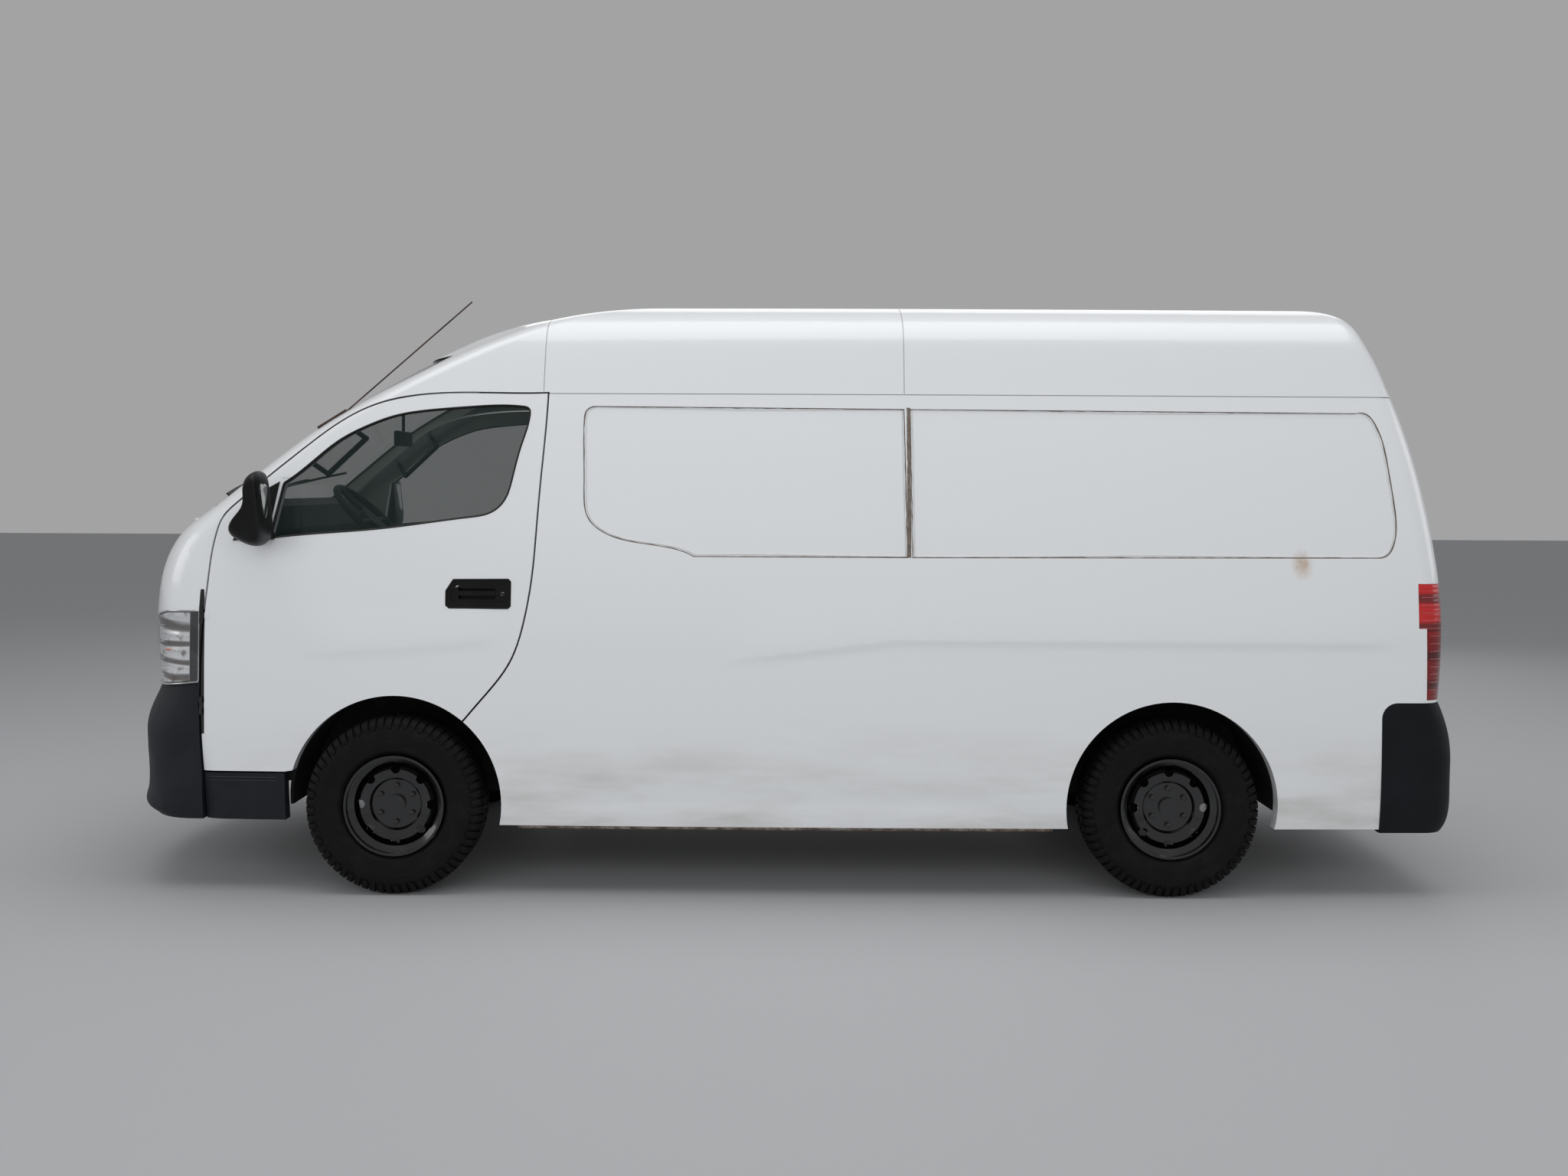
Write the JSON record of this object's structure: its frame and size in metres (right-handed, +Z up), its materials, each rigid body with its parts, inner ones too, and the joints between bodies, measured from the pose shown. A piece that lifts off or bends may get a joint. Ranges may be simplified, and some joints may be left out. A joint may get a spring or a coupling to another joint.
{
  "type": "high-roof panel van",
  "caption": "Long high-roof panel van with a short nose, blanked side windows, hinged front doors, a side door on the right, a lift-up tailgate and steel wheels.",
  "frame": {"origin": "on the ground under the middle of the van's overall box", "axes": "+X to the tail, -Y the van's left side, +Z up"},
  "size_m": [5.2303, 2.174, 2.2849],
  "materials": {
    "white_paint": "white gloss body enamel",
    "charcoal_plastic": "unpainted moulded plastic, fine grain, charcoal",
    "black_plastic": "moulded black plastic, satin",
    "interior_plastic": "dark grey moulded trim, fine grain",
    "lamp_lens": "clear moulded lens over a bright reflector",
    "red_lens": "red ribbed lens",
    "tinted_glass": "green-grey tinted safety glass",
    "tyre_rubber": "black rubber, all-terrain tread",
    "black_enamel": "gloss black enamel on pressed steel",
    "floor_paint": "grey primer and underseal",
    "chassis_paint": "black chassis paint, dusty",
    "cast_iron": "dusty cast iron",
    "bare_steel": "plain steel with a film of rust",
    "seat_fabric": "dark grey woven seat cloth"
  },
  "bodies": {
    "root": {"front_panel": "white_paint", "front_grille": "black_plastic", "headlamps": "lamp_lens", "front_bumper": "charcoal_plastic", "rear_bumper": "charcoal_plastic", "tail_lamps": "red_lens", "step_claddings": "charcoal_plastic", "windscreen": "tinted_glass", "roof_front": "white_paint", "roof_middle": "white_paint", "roof_rear": "white_paint", "body_side_left": "white_paint", "body_side_right": "white_paint", "sliding_door": "white_paint", "sliding_door_handle": "black_plastic", "window_blanks": "white_paint", "cab_floor": "floor_paint", "load_floor": "floor_paint", "chassis": "chassis_paint", "front_suspension": "chassis_paint", "rear_axle": "cast_iron", "leaf_springs": "chassis_paint", "engine": "cast_iron", "propeller_shaft": "bare_steel", "exhaust": "bare_steel", "fuel_tank": "black_plastic", "spare_wheel": "tyre_rubber", "dashboard": "interior_plastic", "steering_column": "interior_plastic", "seats": "seat_fabric", "antenna": "black_plastic", "cab_fittings": "interior_plastic"},
    "left_front_door": {"left_door": "white_paint", "left_door_glass": "tinted_glass", "left_mirror": "black_plastic", "left_door_handle": "black_plastic"},
    "right_front_door": {"right_door": "white_paint", "right_door_glass": "tinted_glass", "right_mirror": "black_plastic", "right_door_handle": "black_plastic"},
    "tailgate_body": {"tailgate": "white_paint", "tailgate_glass": "tinted_glass", "tailgate_grip": "black_plastic"},
    "bonnet_body": {"bonnet": "white_paint"},
    "steering_wheel_body": {"steering_wheel": "interior_plastic"},
    "left_knuckle_body": {"left_knuckle": "cast_iron"},
    "right_knuckle_body": {"right_knuckle": "cast_iron"},
    "front_left_wheel_body": {"front_left_tyre": "tyre_rubber", "front_left_wheel": "black_enamel"},
    "front_right_wheel_body": {"front_right_tyre": "tyre_rubber", "front_right_wheel": "black_enamel"},
    "rear_left_wheel_body": {"rear_left_tyre": "tyre_rubber", "rear_left_wheel": "black_enamel"},
    "rear_right_wheel_body": {"rear_right_tyre": "tyre_rubber", "rear_right_wheel": "black_enamel"}
  },
  "joints": [
    {"name": "left_door_hinge", "type": "hinge", "parent": "root", "child": "left_front_door", "pos_m": [-2.1898, -0.87978, 0.70835], "axis": [0, 0, -1], "range_deg": [0, 68]},
    {"name": "right_door_hinge", "type": "hinge", "parent": "root", "child": "right_front_door", "pos_m": [-2.1898, 0.87978, 0.70835], "axis": [0, 0, 1], "range_deg": [0, 68]},
    {"name": "tailgate_hinge", "type": "hinge", "parent": "root", "child": "tailgate_body", "pos_m": [2.29796, 0, 2.18903], "axis": [0, -1, 0], "range_deg": [0, 85]},
    {"name": "bonnet_hinge", "type": "hinge", "parent": "root", "child": "bonnet_body", "pos_m": [-2.37062, 0, 1.40528], "axis": [0, 1, 0], "range_deg": [0, 50]},
    {"name": "left_steer", "type": "hinge", "parent": "root", "child": "left_knuckle_body", "pos_m": [-1.45, -0.7575, 0.336], "axis": [0, 0, 1], "range_deg": [-35, 35]},
    {"name": "right_steer", "type": "hinge", "parent": "root", "child": "right_knuckle_body", "pos_m": [-1.45, 0.7575, 0.336], "axis": [0, 0, 1], "range_deg": [-35, 35]},
    {"name": "steering_wheel_turn", "type": "hinge", "parent": "root", "child": "steering_wheel_body", "pos_m": [-1.66419, -0.42, 1.40299], "axis": [0.698, 0, 0.7161], "range_deg": [-560, 560]},
    {"name": "front_left_roll", "type": "hinge", "parent": "left_knuckle_body", "child": "front_left_wheel_body", "pos_m": [-1.45, -0.8275, 0.336], "axis": [0, 1, 0], "continuous": true},
    {"name": "front_right_roll", "type": "hinge", "parent": "right_knuckle_body", "child": "front_right_wheel_body", "pos_m": [-1.45, 0.8275, 0.336], "axis": [0, 1, 0], "continuous": true},
    {"name": "rear_left_roll", "type": "hinge", "parent": "root", "child": "rear_left_wheel_body", "pos_m": [1.49, -0.82, 0.336], "axis": [0, 1, 0], "continuous": true},
    {"name": "rear_right_roll", "type": "hinge", "parent": "root", "child": "rear_right_wheel_body", "pos_m": [1.49, 0.82, 0.336], "axis": [0, 1, 0], "continuous": true}
  ],
  "couplings": [
    {"joint": "right_steer", "follows": "left_steer", "ratio": 1},
    {"joint": "steering_wheel_turn", "follows": "left_steer", "ratio": 16}
  ]
}
